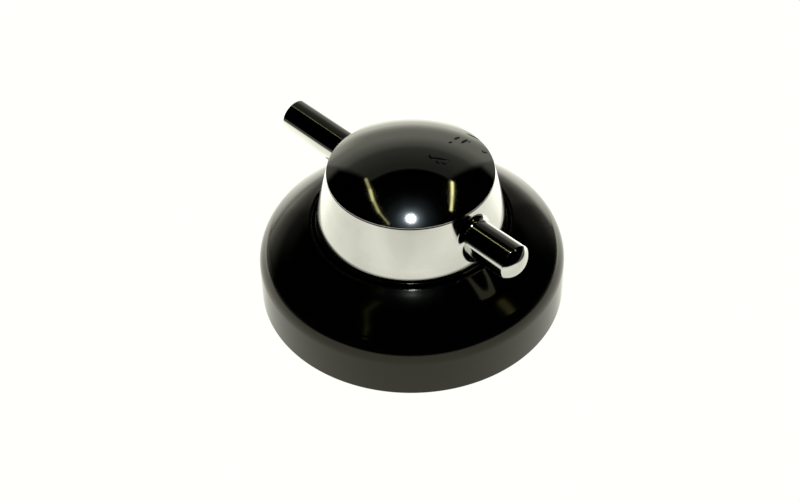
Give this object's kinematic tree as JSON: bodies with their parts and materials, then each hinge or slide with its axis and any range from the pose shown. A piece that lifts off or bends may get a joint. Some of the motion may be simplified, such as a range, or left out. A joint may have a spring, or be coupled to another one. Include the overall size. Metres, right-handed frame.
{
  "type": "timer knob",
  "caption": "Cooker timer knob: chromed knob with a domed top and two unequal bars, turning in a black bell-shaped bezel.",
  "frame": {"origin": "centre of the shaft bore's mouth; the bezel's rim plane lies 0.8 mm below it", "axes": "+Z out of the panel along the shaft, +X along the short bar, so the longer bar points along -X"},
  "size_m": [0.054, 0.05, 0.0276],
  "materials": {
    "bezel_plastic": "polished black",
    "hub_plastic": "polished black",
    "chromed_zinc": "bright chrome on a zinc casting",
    "chromed_cap": "bright chrome, with a few dark specks at the back",
    "spring_steel": "bright rolled strip",
    "clip_steel": "phosphated dark grey",
    "screw_steel": "zinc plated"
  },
  "bodies": {
    "bezel": {"bezel": "bezel_plastic"},
    "knob": {"hub": "hub_plastic", "handle_ring": "chromed_zinc", "dome_cap": "chromed_cap", "shaft_spring": "spring_steel", "retaining_ring": "clip_steel", "handle_screw_1": "screw_steel", "handle_screw_2": "screw_steel", "handle_screw_3": "screw_steel"}
  },
  "joints": [
    {"name": "knob_turn", "type": "hinge", "parent": "bezel", "child": "knob", "pos_m": [0, 0, 0], "axis": [0, 0, 1], "continuous": true}
  ]
}
